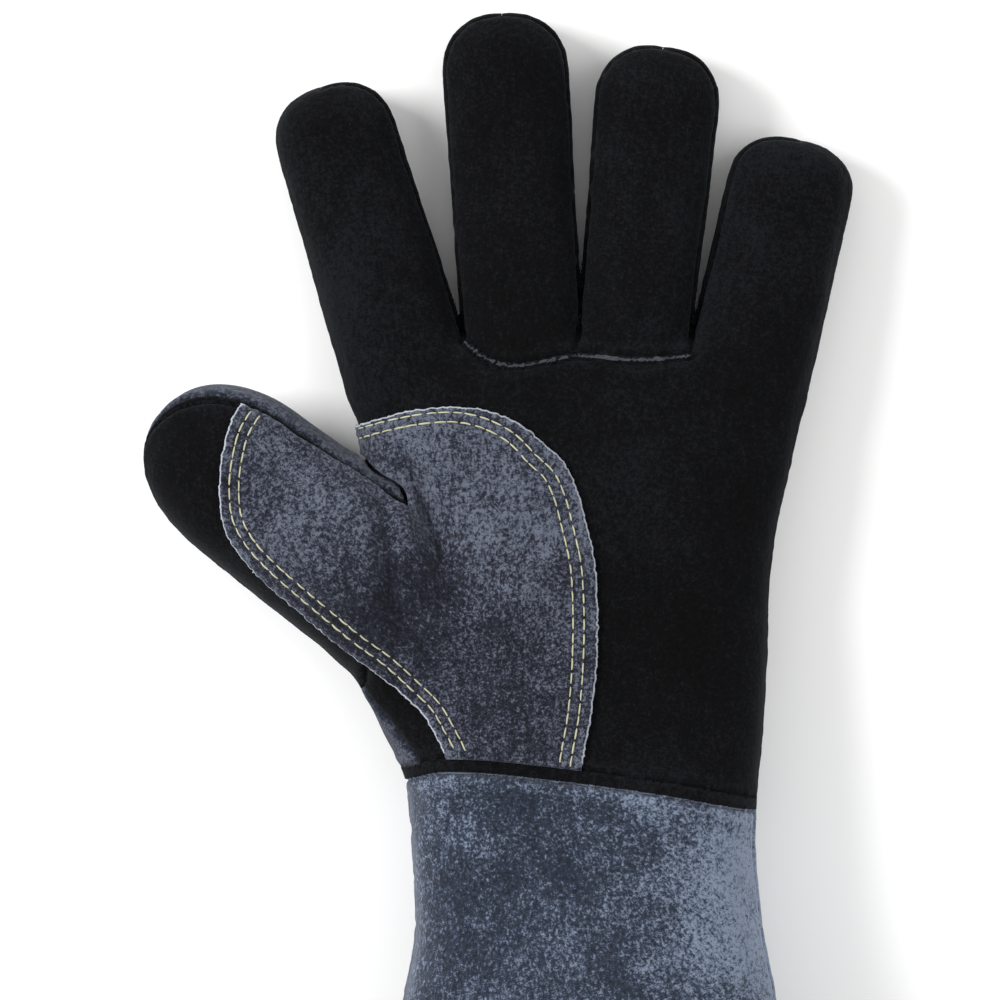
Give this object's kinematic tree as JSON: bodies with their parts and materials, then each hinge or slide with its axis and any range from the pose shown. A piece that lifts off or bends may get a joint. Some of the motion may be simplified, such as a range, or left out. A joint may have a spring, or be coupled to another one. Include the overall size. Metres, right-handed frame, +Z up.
{
  "type": "welding gauntlet",
  "caption": "Left-hand leather welding gauntlet lying palm up: black suede hand, blue-grey suede reinforcement stitched over thumb and palm, and a long flared blue-grey cuff.",
  "frame": {"origin": "on the surface that the glove lies on, under the middle of its box", "axes": "+Y from the cuff's mouth towards the fingertips, +Z up out of the palm, +X from the thumb's side to the little finger's side"},
  "size_m": [0.2014, 0.4072, 0.092],
  "materials": {
    "black_suede": "napped split cowhide, dyed black, matt",
    "blue_grey_suede": "napped split cowhide, dyed blue-grey, mottled and matt",
    "pale_thread": "pale yellow heat-resisting sewing thread"
  },
  "bodies": {
    "root": {"palm_front": "black_suede", "middle_front": "black_suede", "ring_front": "black_suede", "finger_base_welt": "black_suede", "fourchette_index_middle": "black_suede", "fourchette_middle_ring": "black_suede", "fourchette_ring_little": "black_suede", "back_fingers": "black_suede", "back_hand": "blue_grey_suede", "thumb_front": "black_suede", "thumb_back": "blue_grey_suede", "thumb_welt": "black_suede", "palm_patch": "blue_grey_suede", "wrist_welt": "black_suede", "cuff_front": "blue_grey_suede", "cuff_back": "blue_grey_suede"}
  },
  "joints": []
}
